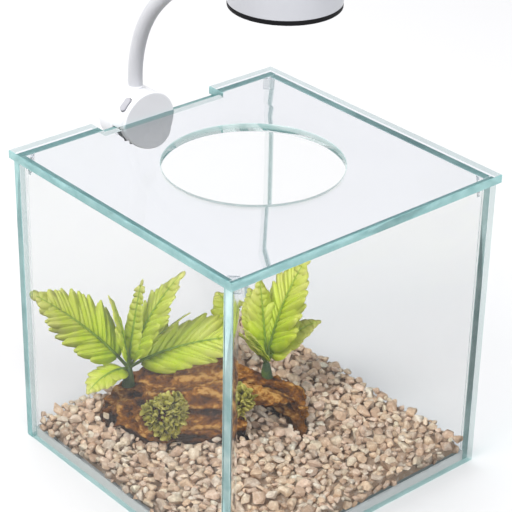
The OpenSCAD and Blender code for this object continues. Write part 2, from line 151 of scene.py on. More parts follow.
class Graph:
    """A material's node tree, built from short calls. A value may be a number, a colour or a socket."""

    def __init__(self, name):
        self.material = bpy.data.materials.new(name)
        self.material.use_nodes = True
        self.tree = self.material.node_tree
        self.tree.nodes.clear()
        self.output = self.tree.nodes.new("ShaderNodeOutputMaterial")

    def put(self, socket, value):
        if isinstance(value, bpy.types.NodeSocket):
            self.tree.links.new(value, socket)
        elif hasattr(value, "__len__") and len(value) == 3 and socket.type == "RGBA":
            socket.default_value = (*value, 1)
        else:
            socket.default_value = value

    def node(self, kind, settings=None, **inputs):
        made = self.tree.nodes.new(kind)
        for key, value in (settings or {}).items():
            setattr(made, key, value)
        for key, value in inputs.items():
            self.put(made.inputs[key.replace("_", " ")], value)
        return made

    def principled(self, colour, roughness, metallic=0.0, **more):
        made = self.node(
            "ShaderNodeBsdfPrincipled", Base_Color=colour, Roughness=roughness, Metallic=metallic
        )
        for key, value in more.items():
            self.put(made.inputs[key.replace("_", " ")], value)
        return made.outputs[0]

    def noise(self, scale, detail=3.0, roughness=0.5, vector=None):
        made = self.node("ShaderNodeTexNoise", Scale=scale, Detail=detail, Roughness=roughness)
        self.put(made.inputs["Vector"], vector if vector is not None else self.place())
        return made.outputs[0]

    def cells(self, scale):
        """Distance to the middle of the nearest cell of a Voronoi pattern."""
        return self.node("ShaderNodeTexVoronoi", Scale=scale, Vector=self.place()).outputs["Distance"]

    def place(self, stretch=None):
        """Object coordinates in metres, which are the shared frame's, stretched by a factor on each axis."""
        made = self.node("ShaderNodeTexCoord").outputs["Object"]
        if stretch is None:
            return made
        return self.node("ShaderNodeMapping", Vector=made, Scale=stretch).outputs[0]

    def attribute(self, name, output="Color"):
        return self.node("ShaderNodeAttribute", {"attribute_name": name}).outputs[output]

    def ramp(self, value, stops):
        made = self.node("ShaderNodeValToRGB", Fac=value)
        points = made.color_ramp.elements
        while len(points) < len(stops):
            points.new(0.5)
        for point, (at, colour) in zip(points, stops):
            point.position = at
            point.color = (*colour, 1)
        return made.outputs[0]

    def span(self, value, low, high, to_low, to_high):
        return self.node(
            "ShaderNodeMapRange", Value=value, From_Min=low, From_Max=high, To_Min=to_low, To_Max=to_high
        ).outputs[0]

    def math(self, operation, a, b=0.0):
        made = self.node("ShaderNodeMath", {"operation": operation})
        self.put(made.inputs[0], a)
        self.put(made.inputs[1], b)
        return made.outputs[0]

    def mix(self, factor, a, b, blend="MIX"):
        made = self.node("ShaderNodeMix", {"data_type": "RGBA", "blend_type": blend})
        self.put(made.inputs[0], factor)
        self.put(made.inputs[6], a)
        self.put(made.inputs[7], b)
        return made.outputs[2]

    def bump(self, height, strength, distance):
        return self.node("ShaderNodeBump", Height=height, Strength=strength, Distance=distance).outputs[0]

    def blend(self, factor, a, b):
        made = self.node("ShaderNodeMixShader")
        self.put(made.inputs[0], factor)
        self.put(made.inputs[1], a)
        self.put(made.inputs[2], b)
        return made.outputs[0]

    def surface(self, shader):
        self.tree.links.new(shader, self.output.inputs["Surface"])


# ---- Materials ----


def let_lamps_through(g, body, shade):
    """Glass that doesn't block the softboxes: shadow rays meet a plain clear surface."""
    lamps = g.node("ShaderNodeBsdfTransparent", Color=shade).outputs[0]
    path = g.node("ShaderNodeLightPath").outputs["Is Shadow Ray"]
    return g.blend(path, body, lamps)


def glass_material(name, tint):
    """The polished faces of a pane: nearly colourless seen straight through, with weak reflections."""
    g = Graph(name)
    body = g.principled(colour=tint, roughness=0.0, IOR=1.18, Transmission_Weight=1.0)
    g.surface(let_lamps_through(g, body, (0.97, 0.975, 0.98)))
    return g.material


def edge_material(name, dark, light, clear_tint, cover):
    """The ground edges of float glass: sea green from outside, paler and clearer seen through the pane."""
    g = Graph(name)
    cloud = g.noise(70, 3, 0.6)
    grind = g.noise(1600, 2)
    deep = g.mix(g.span(cloud, 0.35, 0.65, 0, 1), dark, light)
    inside = g.node("ShaderNodeNewGeometry").outputs["Backfacing"]
    outer = g.node("ShaderNodeBsdfGlass", Color=clear_tint, Roughness=0.06, IOR=1.3).outputs[0]
    inner = g.node("ShaderNodeBsdfTransparent", Color=(0.88, 0.94, 0.935)).outputs[0]
    clear = g.blend(inside, outer, inner)
    ground = g.principled(
        colour=deep, roughness=0.22, Coat_Weight=0.5, Coat_Roughness=0.05, Normal=g.bump(grind, 0.08, 0.0001)
    )
    solid = g.span(inside, 0, 1, cover, 0.25)
    g.surface(let_lamps_through(g, g.blend(solid, clear, ground), (0.6, 0.8, 0.8)))
    return g.material


def hole_material():
    """The polished wall of the feeding hole: a sea-green band is painted under its upper arris for the look
    of light seen through the glass edge; the rest is clear.
    """
    g = Graph("polished_hole_edge")
    low, high = (corner.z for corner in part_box("lid_glass"))
    height = g.node("ShaderNodeSeparateXYZ", Vector=g.place()).outputs["Z"]
    # Painted: the tint is set by height on the wall, nearly clear below 30 % of the lid's thickness and 62 %
    # tinted above half of it.
    painted_tint_band = g.span(height, low + 0.3 * (high - low), low + 0.5 * (high - low), 0.04, 0.62)
    cloud = g.noise(120, 3, 0.6)
    tinted = g.principled(
        colour=g.mix(cloud, (0.34, 0.52, 0.51), (0.58, 0.72, 0.70)), roughness=0.25, Coat_Weight=0.4,
        Coat_Roughness=0.05
    )
    clear = g.node("ShaderNodeBsdfTransparent", Color=(0.95, 0.975, 0.97)).outputs[0]
    g.surface(let_lamps_through(g, g.blend(painted_tint_band, clear, tinted), (0.9, 0.95, 0.95)))
    return g.material


def silicone_material(name, clearness):
    """Silicone with a slightly uneven skin; the less clear it is, the milkier it looks."""
    g = Graph(name)
    skin = g.bump(g.noise(900, 3), 0.25, 0.0002)
    body = g.principled(
        colour=(0.95, 0.97, 0.97), roughness=0.12, IOR=1.06, Transmission_Weight=clearness, Normal=skin
    )
    g.surface(let_lamps_through(g, body, (0.97, 0.98, 0.98)))
    return g.material


def stone_material():
    """Dry crushed quartzite: each stone's own tint, mottled, with dark specks and a gritty skin."""
    g = Graph("gravel_stone")
    tint = g.attribute("tint")
    mottle = g.noise(420, 4, 0.6)
    pale = g.mix(0.5, tint, (0.93, 0.87, 0.78))
    rusty = g.mix(0.45, tint, (0.42, 0.27, 0.18))
    lighter = g.mix(g.span(mottle, 0.5, 0.72, 0, 1), tint, pale)
    colour = g.mix(g.span(mottle, 0.42, 0.62, 0, 1), rusty, lighter)
    speck = g.span(g.cells(1500), 0.08, 0.2, 0.45, 1.0)
    colour = g.mix(1.0, colour, speck, "MULTIPLY")
    grit = g.math("ADD", g.noise(1800, 4, 0.65), g.math("MULTIPLY", g.noise(500, 2), 0.8))
    g.surface(g.principled(
        colour=colour, roughness=g.span(mottle, 0.3, 0.7, 0.55, 0.85), Normal=g.bump(grit, 0.6, 0.0004)
    ))
    return g.material


def log_material():
    """Painted resin bark: ochre on the ridges, dark brown to near black in the cracks, partly the bark's own
    paint and partly painted shade; the foot is darkened as painted shade too.
    """
    g = Graph("resin_bark")
    depth = g.attribute("height", "Fac")
    grain = g.noise(160, 5, 0.65, g.place((1, 1, 2.2)))
    flakes = g.noise(420, 4, 0.7, g.place((1, 1, 1.6)))
    mixed = g.math("ADD", depth, g.span(grain, 0.3, 0.7, -0.16, 0.16))
    mixed = g.math("ADD", mixed, g.span(flakes, 0.35, 0.65, -0.24, 0.2))
    # From near black at the bottom of the relief, partly painted shade in the cracks, up to ochre on the
    # ridges.
    colour = g.ramp(mixed, [
        (0.0, (0.005, 0.003, 0.002)), (0.30, (0.026, 0.010, 0.004)), (0.52, (0.098, 0.031, 0.005)),
        (0.72, (0.195, 0.066, 0.006)), (0.90, (0.355, 0.140, 0.014)), (1.0, (0.60, 0.33, 0.09))
    ])
    patches = g.span(g.noise(45, 3), 0.45, 0.62, 0, 0.6)
    colour = g.mix(patches, colour, g.mix(0.45, colour, (0.17, 0.082, 0.022)))
    fine = g.math("ADD", grain, g.math("MULTIPLY", g.noise(900, 3), 0.5))
    g.surface(g.principled(
        colour=colour, roughness=g.span(grain, 0.3, 0.7, 0.6, 0.85), Specular_IOR_Level=0.12,
        Normal=g.bump(fine, 0.6, 0.0006)
    ))
    return g.material


def leaf_material(name, dark, mid, light):
    """Moulded leaf plastic that lets some light through; 'tint' runs from the stem to the leaf tips."""
    g = Graph(name)
    along = g.attribute("tint", "Fac")
    streak = g.noise(260, 3, 0.5, g.place((1, 1, 0.6)))
    at = g.math("ADD", along, g.span(streak, 0.3, 0.7, -0.12, 0.12))
    colour = g.ramp(at, [(0.0, dark), (0.45, mid), (0.95, light)])
    body = g.principled(
        colour=colour, roughness=g.span(streak, 0.3, 0.7, 0.34, 0.5),
        Normal=g.bump(g.noise(1400, 2), 0.2, 0.0002)
    )
    through = g.node("ShaderNodeBsdfTranslucent", Color=colour).outputs[0]
    g.surface(g.blend(0.5, body, through))
    return g.material


def plastic_material(name, colour, roughness, grain=2500, strength=0.05, coat=0.0, gloss=0.5):
    """Moulded plastic with a faint moulding texture and an uneven gloss."""
    g = Graph(name)
    cloud = g.noise(60, 3)
    tone = g.mix(g.span(cloud, 0.3, 0.7, 0, 0.35), colour, tuple(c * 0.93 for c in colour))
    g.surface(g.principled(
        colour=tone, roughness=g.span(cloud, 0.3, 0.7, roughness * 0.85, roughness * 1.15),
        Specular_IOR_Level=gloss, Coat_Weight=coat, Coat_Roughness=0.08,
        Normal=g.bump(g.noise(grain, 2), strength, 0.0001)
    ))
    return g.material


def metal_material(name, colour, roughness, stretch):
    """Drawn or brushed metal, its streaks set by how far the noise is stretched."""
    g = Graph(name)
    streak = g.noise(900, 3, 0.5, g.place(stretch))
    g.surface(g.principled(
        colour=colour, roughness=g.span(streak, 0.3, 0.7, roughness * 0.7, roughness * 1.3), metallic=1.0,
        Normal=g.bump(streak, 0.1, 0.0001)
    ))
    return g.material


def block_material():
    """Clear moulded plastic of the lid's corner blocks."""
    g = Graph("clear_block_plastic")
    cloud = g.noise(300, 2)
    body = g.principled(
        colour=(0.93, 0.95, 0.96), roughness=g.span(cloud, 0.3, 0.7, 0.08, 0.25), IOR=1.2,
        Transmission_Weight=0.8
    )
    g.surface(let_lamps_through(g, body, (0.93, 0.95, 0.96)))
    return g.material


def diffuser_material():
    """Frosted plastic in front of the LEDs."""
    g = Graph("frosted_diffuser")
    cloud = g.noise(120, 2)
    body = g.principled(
        colour=(0.93, 0.94, 0.95), roughness=g.span(cloud, 0.3, 0.7, 0.35, 0.5), Subsurface_Weight=0.2,
        Subsurface_Radius=(0.002, 0.002, 0.002), Normal=g.bump(g.cells(1400), 0.15, 0.0002)
    )
    g.surface(body)
    return g.material


# ---- Mesh helpers ----


def add_object(name, verts, faces, material, smooth_angle=None):
    mesh = bpy.data.meshes.new(name)
    mesh.from_pydata([tuple(v) for v in verts], [], [tuple(f) for f in faces])
    mesh.update()
    mesh.materials.append(material)
    obj = bpy.data.objects.new(name, mesh)
    bpy.context.scene.collection.objects.link(obj)
    if smooth_angle is not None:
        mesh.shade_smooth()
        mesh.set_sharp_from_angle(angle=math.radians(smooth_angle))
    return obj


def outward(obj):
    """Turns every face of a closed mesh to face out."""
    bm = bmesh.new()
    bm.from_mesh(obj.data)
    bmesh.ops.recalc_face_normals(bm, faces=bm.faces)
    bm.to_mesh(obj.data)
    bm.free()


def keep(obj, body, slot, *nodes):
    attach(obj, body)
    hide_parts(*nodes)


def offset_loop(points, distance):
    """A closed counter-clockwise outline moved inwards by a distance, with mitred corners."""
    moved = []
    for i, here in enumerate(points):
        before, after = points[i - 1], points[(i + 1) % len(points)]
        first, second = (here - before).normalized(), (after - here).normalized()
        n1, n2 = Vector((-first.y, first.x)), Vector((-second.y, second.x))
        moved.append(here + (n1 + n2) * (distance / (1 + n1.dot(n2))))
    return moved


def plate(name, outline, hole, low, high, arris, face_paint, edge_paint, hole_paint=None, to_world=None):
    """A flat plate from a counter-clockwise outline and an optional clockwise hole, with ground edges."""
    angles = (0, math.pi / 6, math.pi / 3, math.pi / 2)
    steps = [(arris * (1 - math.sin(a)), arris * (1 - math.cos(a))) for a in angles]
    levels = [(inset, low + rise) for inset, rise in steps]
    levels += [(inset, high - rise) for inset, rise in reversed(steps)]
    verts, faces, caps, paints = [], [], {0: [], len(levels) - 1: []}, []
    for loop in filter(None, (outline, hole)):
        rings = []
        for k, (inset, z) in enumerate(levels):
            ring = [Vector((p.x, p.y, z)) for p in offset_loop(loop, inset)]
            rings.append(range(len(verts), len(verts) + len(ring)))
            verts += ring
            if k in caps:
                caps[k].append((ring, rings[-1]))
        count = len(loop)
        for a, b in zip(rings, rings[1:]):
            faces += [(a[i], a[(i + 1) % count], b[(i + 1) % count], b[i]) for i in range(count)]
        paints += [1 if loop is outline else 2] * (len(faces) - len(paints))
    for loops in caps.values():
        index = [i for _, ids in loops for i in ids]
        for tri in geometry.tessellate_polygon([ring for ring, _ in loops]):
            faces.append([index[i] for i in tri])
    if to_world is not None:
        verts = [to_world @ v for v in verts]
    obj = add_object(name, verts, faces, face_paint, 20)
    for paint in filter(None, (edge_paint, hole_paint)):
        obj.data.materials.append(paint)
    for face, paint in zip(obj.data.polygons, paints):
        face.material_index = paint
    outward(obj)
    return obj


def rectangle(x0, y0, x1, y1):
    return [Vector(p) for p in ((x0, y0), (x1, y0), (x1, y1), (x0, y1))]


class Builder:
    """Collects many small meshes with one value or colour per vertex, then makes one object of them."""

    def __init__(self):
        self.verts, self.faces, self.tints, self.count = [], [], [], 0

    def add(self, verts, faces, tint):
        verts = np.asarray(verts, float)
        self.verts.append(verts)
        self.faces += [[i + self.count for i in f] for f in faces]
        tint = np.asarray(tint, float)
        if tint.ndim == 1 and len(tint) == 3:
            tint = np.tile(tint, (len(verts), 1))
        elif tint.ndim == 0:
            tint = np.full((len(verts), 3), float(tint))
        elif tint.ndim == 1:
            tint = np.repeat(tint[:, None], 3, 1)
        self.tints.append(tint)
        self.count += len(verts)

    def build(self, name, material, smooth_angle):
        obj = add_object(name, np.concatenate(self.verts), self.faces, material, smooth_angle)
        tints = np.concatenate(self.tints)
        colours = np.ones((len(tints), 4))
        colours[:, :3] = tints
        layer = obj.data.attributes.new("tint", "FLOAT_COLOR", "POINT")
        layer.data.foreach_set("color", colours.ravel())
        return obj


# ---- Tank ----

ARRIS = 0.35 * MM


def pane(node, face_paint, edge_paint, rim_paint):
    """One glass pane in the place of its CAD node, with ground edges, the top one deeper in colour."""
    low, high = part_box(node)
    size = high - low
    thin = min(range(3), key=lambda i: size[i])
    u, v = [i for i in range(3) if i != thin]
    basis = Matrix.Identity(3)
    for column, axis in enumerate((u, v, thin)):
        basis.col[column] = Vector([float(i == axis) for i in range(3)])
    obj = plate(
        node + "_glass", rectangle(low[u], low[v], high[u], high[v]), None, low[thin], high[thin], ARRIS,
        face_paint, edge_paint, to_world=basis
    )
    obj.data.materials.append(rim_paint)
    for face in obj.data.polygons:
        if face.material_index == 1 and face.normal.z > 0.5:
            face.material_index = 2
    keep(obj, "tank", "clear_glass", node)


# How far a bead's section leaves the round arc for a straight line.
BEAD_FLATNESS = 0.28
UPRIGHT_LEG, BASE_LEG = 2.3 * MM, 1.5 * MM
GLASS = 4 * MM
# Keeps the silicone's faces apart from the faces of the panes.
SLACK = 0.02 * MM
# How far the glue lines stop short of the floor.
GLUE_FOOT = 0.2 * MM


def bead_section(leg):
    """Concave fillet in the corner at the origin, its legs along -X and -Y."""
    steps = 7
    arc = [
        Vector((-leg + leg * math.sin(a), -leg + leg * math.cos(a)))
        for a in (math.pi / 2 * i / steps for i in range(steps + 1))
    ]
    chord = [Vector((-leg + leg * i / steps, -leg * i / steps)) for i in range(steps + 1)]
    return [p * (1 - BEAD_FLATNESS) + q * BEAD_FLATNESS for p, q in zip(arc, chord)]


def upright_bead(node, sx, sy, material, seed):
    """Silicone seam at one upright corner: the glue line and the tooled fillet inside it."""
    low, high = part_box(node)
    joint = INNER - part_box("left_pane")[1].y
    section = bead_section(UPRIGHT_LEG)
    z_steps = 50
    base = FLOOR_Z + UPRIGHT_LEG
    top = high.z - 1 * MM
    verts, faces = [], []
    count = len(section) + 1
    for k in range(z_steps + 1):
        z = base + (top - base) * k / z_steps
        swell = 1 + 0.01 * noise.noise(Vector((seed * 7.3, 0, z * 60)))
        ring = [Vector((-SLACK, -SLACK))] + [p * swell for p in section]
        verts += [Vector((sx * (INNER - SLACK + p.x), sy * (INNER - SLACK + p.y), z)) for p in ring]
    for k in range(z_steps):
        a, b = k * count, (k + 1) * count
        faces += [(a + i, a + (i + 1) % count, b + (i + 1) % count, b + i) for i in range(count)]
    faces += [list(range(count)), list(range(z_steps * count, (z_steps + 1) * count))]
    start = len(verts)
    x_in, x_out = INNER + SLACK, INNER + GLASS - 2 * SLACK
    y_in, y_out = INNER - joint + SLACK, INNER - SLACK
    corners = ((x_in, y_in), (x_out, y_in), (x_out, y_out), (x_in, y_out))
    for z in (GLUE_FOOT, high.z - 0.3 * MM):
        verts += [Vector((sx * x, sy * y, z)) for x, y in corners]
    strip = [(0, 1, 2, 3), (4, 5, 6, 7), (0, 1, 5, 4), (1, 2, 6, 5), (2, 3, 7, 6), (3, 0, 4, 7)]
    faces += [[start + i for i in f] for f in strip]
    obj = add_object(node + "_bead", verts, faces, material, 30)
    outward(obj)
    keep(obj, "tank", "silicone", node)


def base_bead(material):
    """Silicone round the base pane: the glue line and a small fillet along the foot of each wall."""
    foot = FLOOR_Z + SLACK
    inner = INNER - SLACK
    base_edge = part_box("base_pane")[1].x + SLACK
    section = [(inner, foot)] + [(inner + p.x, foot - p.y) for p in bead_section(BASE_LEG)]
    verts, faces = [], []
    steps = 40
    for side in range(4):
        turn = Matrix.Rotation(side * math.pi / 2, 3, "Z")
        for k in range(steps):
            s = -1 + 2 * k / steps
            swell = 1 + 0.08 * noise.noise(Vector((side * 3.1, s * 5, 0.7)))
            for r, z in section:
                reach = inner - (inner - r) * swell
                verts.append(turn @ Vector((reach, reach * s, foot + (z - foot) * swell)))
    count, total = len(section), 4 * steps
    for k in range(total):
        a, b = k * count, (k + 1) % total * count
        faces += [(a + i, a + (i + 1) % count, b + (i + 1) % count, b + i) for i in range(count)]
    start = len(verts)
    for r in (base_edge, inner):
        for z in (GLUE_FOOT, FLOOR_Z - SLACK):
            verts += [Vector((sx * r, sy * r, z)) for sx, sy in ((-1, -1), (1, -1), (1, 1), (-1, 1))]
    rings = [[start + 4 * k + i for i in range(4)] for k in range(4)]
    for a, b in ((0, 1), (1, 3), (3, 2), (2, 0)):
        faces += [(rings[a][i], rings[a][(i + 1) % 4], rings[b][(i + 1) % 4], rings[b][i]) for i in range(4)]
    obj = add_object("base_bead", verts, faces, material, 30)
    outward(obj)
    keep(obj, "tank", "silicone", "base_seam")


def make_tank(glass, edge, rim, base_edge):
    paints = {
        "base_pane": base_edge, "front_pane": edge, "rear_pane": rim, "left_pane": edge, "right_pane": edge
    }
    for node, paint in paints.items():
        pane(node, glass, paint, rim)
    silicone = silicone_material("clear_silicone", 0.97)
    corners = {"front_left": (-1, -1), "front_right": (1, -1), "rear_left": (-1, 1), "rear_right": (1, 1)}
    for seed, (corner, (sx, sy)) in enumerate(corners.items()):
        upright_bead("seam_" + corner, sx, sy, silicone, seed)
    base_bead(silicone_material("milky_silicone", 0.5))


# ---- Lid ----


HOLE_RADIUS = 40.5 * MM


def make_lid(glass, edge, hole_edge):
    """The lid with its feeding hole and the notch round the lamp clip."""
    low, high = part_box("lid_glass")
    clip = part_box("clip_front_cap")
    notch_y = clip[0].y - 0.4 * MM
    notch_low, notch_high = -31.5 * MM, 37.5 * MM
    outline = [Vector(p) for p in (
        (low.x, low.y), (high.x, low.y), (high.x, high.y), (notch_high, high.y), (notch_high, notch_y),
        (notch_low, notch_y), (notch_low, high.y), (low.x, high.y)
    )]
    turns = 160
    angles = [-2 * math.pi * i / turns for i in range(turns)]
    hole = [Vector((math.cos(a), math.sin(a))) * HOLE_RADIUS for a in angles]
    lid = plate("lid_plate", outline, hole, low.z, high.z, ARRIS, glass, edge, hole_edge)
    keep(lid, "lid", "lid_glass", "lid_glass")


# ---- Gravel ----

STONE_R = 2.75 * MM
STONE_TINTS = [
    (0.90, 0.66, 0.45), (0.94, 0.74, 0.53), (0.96, 0.82, 0.62), (0.78, 0.55, 0.38),
    (0.92, 0.69, 0.53), (0.69, 0.49, 0.35), (0.97, 0.86, 0.71), (0.87, 0.71, 0.56)
]


def gravel_top(x, y):
    """Height of the bed, as in the CAD, with loose stones banked up in the rear left corner."""
    x, y = x / MM, y / MM
    swell = 0.8 * math.sin(math.radians(3.4 * x + 40)) * math.cos(math.radians(4.4 * y))
    bank = 5 * math.exp(-((x + 50) ** 2 + (y - 66) ** 2) / 450)
    return FLOOR_Z + (9.5 + 3 * (x - y) / 150 - 2 * (x + y) / 150 + swell + bank) * MM


def stone_shapes(rng, count):
    """Crushed stones: convex hulls of random points on a squashed ball, with their edges worn."""
    shapes = []
    for _ in range(count):
        bm = bmesh.new()
        squash = Vector((rng.uniform(1.05, 1.35), rng.uniform(0.8, 1.0), rng.uniform(0.62, 0.85)))
        for _ in range(15):
            p = Vector([rng.gauss(0, 1) for _ in range(3)]).normalized() * rng.uniform(0.86, 1.06)
            bm.verts.new(Vector([a * b for a, b in zip(p, squash)]))
        bmesh.ops.convex_hull(bm, input=bm.verts)
        loose = [v for v in bm.verts if not v.link_faces]
        bmesh.ops.delete(bm, geom=loose, context="VERTS")
        bmesh.ops.dissolve_limit(bm, angle_limit=math.radians(14), verts=bm.verts, edges=bm.edges)
        bmesh.ops.bevel(
            bm, geom=bm.edges[:], offset=0.13, segments=2, profile=0.6, affect="EDGES", clamp_overlap=True
        )
        bmesh.ops.triangulate(bm, faces=[f for f in bm.faces if len(f.verts) > 4])
        for v in bm.verts:
            v.co += v.normal * 0.05 * noise.noise(v.co * 2.3 + Vector((len(shapes), 0, 0)))
        bm.verts.index_update()
        shapes.append((np.array([v.co for v in bm.verts]), [[v.index for v in f.verts] for f in bm.faces]))
        bm.free()
    return shapes


def settle_stones(rng):
    """Drops balls one by one, each into the lowest of a few random spots, until the bed is full."""
    spots = np.empty((0, 4))
    reach = INNER - 0.4 * MM
    misses = 0
    while misses < 500:
        r = STONE_R * (rng.uniform(0.72, 1.22) if misses < 120 else rng.uniform(0.45, 0.75))
        best = None
        for _ in range(10):
            x, y = (rng.uniform(-reach + 0.6 * r, reach - 0.6 * r) for _ in range(2))
            z = FLOOR_Z + r * 0.8
            if len(spots):
                near = spots[np.hypot(spots[:, 0] - x, spots[:, 1] - y) < 0.8 * (spots[:, 3] + r)]
                if len(near):
                    gap = (0.8 * (near[:, 3] + r)) ** 2 - (near[:, 0] - x) ** 2 - (near[:, 1] - y) ** 2
                    z = max(z, float((near[:, 2] + np.sqrt(np.maximum(gap, 0))).max()))
            if best is None or z < best[2]:
                best = (x, y, z, r)
        if best[2] + 0.35 * best[3] > gravel_top(best[0], best[1]):
            misses += 1
            continue
        spots = np.vstack([spots, best])
    return spots


def gravel_heart():
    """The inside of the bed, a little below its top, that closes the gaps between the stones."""
    cells, limit = 44, INNER - 3.2 * MM
    places = [-limit + 2 * limit * i / cells for i in range(cells + 1)]
    side = cells + 1
    verts = []
    for y in places:
        for x in places:
            rough = noise.noise(Vector((x, y, 0)) * 260)
            verts.append(Vector((x, y, gravel_top(x, y) - (5.4 - 1.4 * rough) * MM)))
    foot = len(verts)
    verts += [Vector((v.x, v.y, FLOOR_Z + 0.1 * MM)) for v in verts]
    faces = []
    for j in range(cells):
        for i in range(cells):
            a = j * side + i
            b = foot + a
            faces += [(a, a + 1, a + side + 1, a + side), (b, b + side, b + side + 1, b + 1)]
    rim = [i for i in range(side)] + [j * side + cells for j in range(1, side)]
    rim += [cells * side + i for i in range(cells - 1, -1, -1)] + [j * side for j in range(cells - 1, 0, -1)]
    faces += [(a, foot + a, foot + b, b) for a, b in zip(rim, rim[1:] + rim[:1])]
    heart = Builder()
    # Painted shade: the heart is a darker brown than the stones, so the gaps between the stones read as
    # shade.
    heart.add(verts, faces, (0.38, 0.28, 0.20))
    return heart


GRAVEL_SEED = 7
STONE_SHAPES = 26
# The nearest that a stone comes to the glass.
STONE_GAP = 0.15 * MM


def make_gravel():
    """Loose stones over a packed heart, together in the place of the CAD bed."""
    rng = random.Random(GRAVEL_SEED)
    shapes = stone_shapes(rng, STONE_SHAPES)
    stones = Builder()
    for x, y, z, r in settle_stones(rng):
        verts, faces = rng.choice(shapes)
        turn = Matrix.Rotation(rng.uniform(0, 2 * math.pi), 3, "Z")
        turn = turn @ Matrix.Rotation(rng.uniform(-0.5, 0.5), 3, "X")
        turn = turn @ Matrix.Rotation(rng.uniform(-0.5, 0.5), 3, "Y")
        placed = verts @ np.array(turn).T * r * 1.12 + np.array((x, y, z))
        limit = INNER - STONE_GAP
        placed[:, :2] = placed[:, :2].clip(-limit, limit)
        placed[:, 2] = placed[:, 2].clip(FLOOR_Z + 0.1 * MM, None)
        tint = np.array(rng.choice(STONE_TINTS)) * rng.uniform(0.8, 1.12)
        stones.add(placed, faces, tint.clip(0, 1))
    paint = stone_material()
    keep(stones.build("gravel_stones", paint, 38), "tank", "gravel", "gravel_bed")
    heart = gravel_heart().build("gravel_heart", paint, 60)
    outward(heart)
    keep(heart, "tank", "gravel", "gravel_bed")


# ---- Log ----

LOG_PLACE = Vector((-9, 20, 0)) * MM
LOG_TURN = math.radians(-44)
LOG_LENGTH = 96 * MM
LOG_FLOOR = 8 * MM
LOG_SECTION = [
    (-19, 0), (-21, 11), (-18, 22), (-11, 27), (-2, 21), (6, 25), (12, 35), (18, 29), (21, 12), (18, 0)
]
# The cave, in the millimetres of the shared frame.
CAVE_CENTRE, CAVE_SIZE = (7, -14, 12.5), (21, 53, 27)
BARK_VOXEL = 0.75 * MM


def log_scale(s):
    """Size of the section at s from -1 to 1 along the log, small at both ends."""
    return (0.38 + 0.62 * math.sqrt(1 - 0.96 * s * s)) * (1 - 0.9 * max(0, -s - 0.5))


def ridge_scale(s):
    """The rear ridge gets lower towards the right end."""
    return 1 - 0.36 * min(1, max(0, (s + 0.15) / 0.5))


def log_ring(s, count):
    """Section of the log at s from -1 to 1 along it, through the CAD's corners as a smooth closed curve."""
    scale, corners = log_scale(s), []
    for across, up in LOG_SECTION:
        lift = up * scale * (ridge_scale(s) if across > 2 else 1)
        sway = 3 * math.sin(math.radians(150 * s))
        corners.append(Vector((s * LOG_LENGTH / 2, (across * scale + sway) * MM, LOG_FLOOR + lift * MM)))
    total = len(corners)
    ring = []
    for i in range(count):
        at = i * total / count
        k = int(at)
        t = at - k
        a, b, c, d = (corners[(k + j) % total] for j in (-1, 0, 1, 2))
        square, cube = (2 * a - 5 * b + 4 * c - d) * t * t, (3 * b - a - 3 * c + d) * t ** 3
        curve = 0.5 * (2 * b + (c - a) * t + square + cube)
        ring.append(curve.lerp(b.lerp(c, t), 0.35))
    return ring


def ridged(p):
    """Crack-like noise: 1 on broad ridges, falling to 0 in narrow valleys."""
    return 1 - abs(noise.noise(p)) ** 0.6 * 1.6


def bark_height(p):
    """Relief of the bark in millimetres at a point in the log's own frame, long cracks along X."""
    m = p / MM
    warp = noise.noise_vector(m / 22) * 5
    lumps = noise.noise(m / 13 + Vector((3, 0, 0)))
    layers = ridged(Vector((m.x / 42, m.y / 7.5, m.z / 6.0)) + warp / 9)
    cracks = ridged(Vector((m.x / 16, m.y / 5, m.z / 4.2)) + warp / 7 + Vector((9, 4, 1)))
    grain = noise.noise(Vector((m.x / 5.5, m.y / 1.7, m.z / 1.7)) + Vector((0, 7, 0)))
    pits = noise.noise(m / 1.3)
    return 1.4 * lumps + 2.2 * (layers - 0.62) + 1.6 * (cracks - 0.62) + 0.7 * grain + 0.35 * pits


def remesh(obj, size):
    """Bakes a voxel remesh, so that the relief has an even grid to work on."""
    modifier = obj.modifiers.new("even", "REMESH")
    modifier.mode = "VOXEL"
    modifier.voxel_size = size
    graph = bpy.context.evaluated_depsgraph_get()
    mesh = bpy.data.meshes.new_from_object(obj.evaluated_get(graph))
    obj.modifiers.clear()
    obj.data = mesh


def cut_cave(obj):
    """Hollows the log from its front right, as the CAD does, but with a rough roof and walls."""
    bm = bmesh.new()
    bmesh.ops.create_cube(bm, size=1)
    bmesh.ops.subdivide_edges(bm, edges=bm.edges[:], cuts=11, use_grid_fill=True)
    for v in bm.verts:
        v.co = Vector([middle + size * c for middle, size, c in zip(CAVE_CENTRE, CAVE_SIZE, v.co)]) * MM
        v.co += noise.noise_vector(v.co / MM / 7) * 2.2 * MM
    mesh = bpy.data.meshes.new("cave_cutter")
    bm.to_mesh(mesh)
    bm.free()
    cutter = bpy.data.objects.new("cave_cutter", mesh)
    bpy.context.scene.collection.objects.link(cutter)
    modifier = obj.modifiers.new("cave", "BOOLEAN")
    modifier.object = cutter
    modifier.operation = "DIFFERENCE"
    modifier.solver = "EXACT"
    graph = bpy.context.evaluated_depsgraph_get()
    cut = bpy.data.meshes.new_from_object(obj.evaluated_get(graph))
    obj.modifiers.clear()
    obj.data = cut
    bpy.data.objects.remove(cutter)


